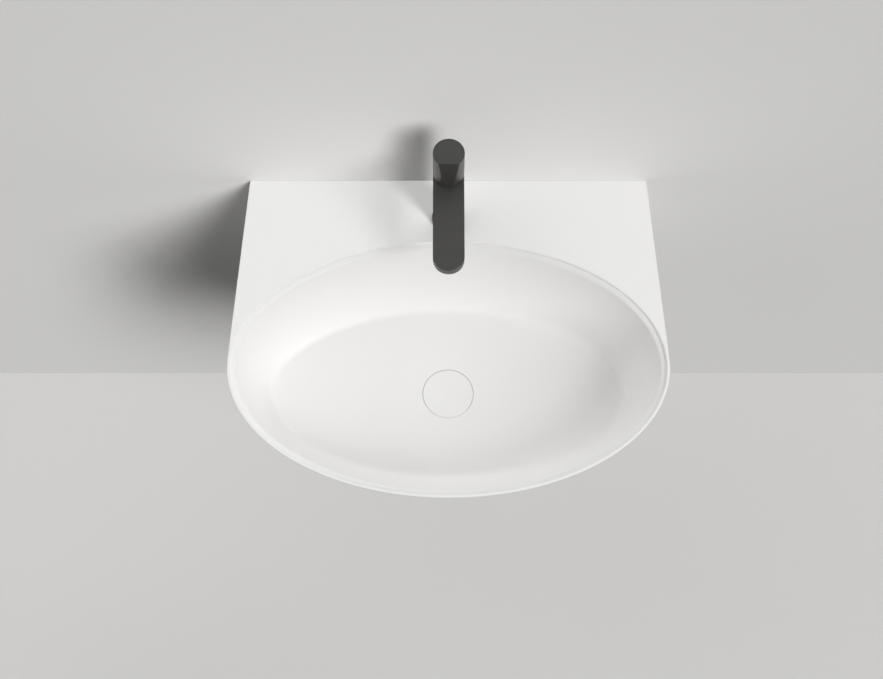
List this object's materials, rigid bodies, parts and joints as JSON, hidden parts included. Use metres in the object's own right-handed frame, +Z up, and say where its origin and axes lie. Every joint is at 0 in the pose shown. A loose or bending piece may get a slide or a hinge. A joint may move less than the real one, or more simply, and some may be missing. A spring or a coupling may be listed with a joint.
{
  "type": "wall-hung washbasin",
  "caption": "Wall-hung oval washbasin with a flat rear deck, a mixer tap with a flat spout and turning handle, and a push-open waste under a matching round cover.",
  "frame": {"origin": "midway between the two wall-bolt holes, on the flat back face that rests on the wall", "axes": "+X to the right as the user sees it, +Y into the wall, +Z up"},
  "size_m": [0.5994, 0.4597, 0.4396],
  "materials": {
    "basin_white": "satin",
    "graphite": "satin",
    "brass": "satin",
    "steel": "satin",
    "chrome": "polished",
    "rubber": "matte",
    "plastic_white": "matte",
    "plastic_grey": "matte"
  },
  "bodies": {
    "basin": {"basin_body": "basin_white", "wall_sleeves": "plastic_white", "drain_push_cartridge": "plastic_grey", "drain_body": "chrome", "drain_top_seal": "rubber", "drain_lower_seal": "rubber", "drain_backnut": "chrome", "drain_tail_seal": "rubber", "drain_tail": "chrome", "tap_base_seal": "rubber", "tap_base_ring": "graphite", "tap_body": "graphite", "tap_inlet_block": "brass", "tap_inlet_seal": "rubber", "tap_cartridge_seals": "rubber", "tap_cartridge": "plastic_grey", "tap_cartridge_nut": "brass", "tap_glide_ring": "plastic_grey", "tap_aerator_seal": "rubber", "tap_aerator_housing": "graphite", "tap_aerator_insert": "plastic_grey", "tap_shank": "brass", "tap_clamp_seal": "rubber", "tap_clamp_washer": "steel", "tap_clamp_nut": "brass"},
    "handle": {"tap_handle": "graphite", "tap_handle_screw": "steel", "tap_cartridge_stem": "brass"},
    "waste_cover": {"drain_cover": "basin_white", "drain_cover_seal": "rubber", "drain_cover_holder": "brass", "drain_stem": "brass"}
  },
  "joints": [
    {"name": "handle_turn", "type": "hinge", "parent": "basin", "child": "handle", "pos_m": [0, -0.059, 0.2], "axis": [0, 0, 1], "range_deg": [0, 110]},
    {"name": "cover_lift", "type": "slide", "parent": "basin", "child": "waste_cover", "axis": [0, 0, 1], "range_m": [0, 0.009]}
  ]
}
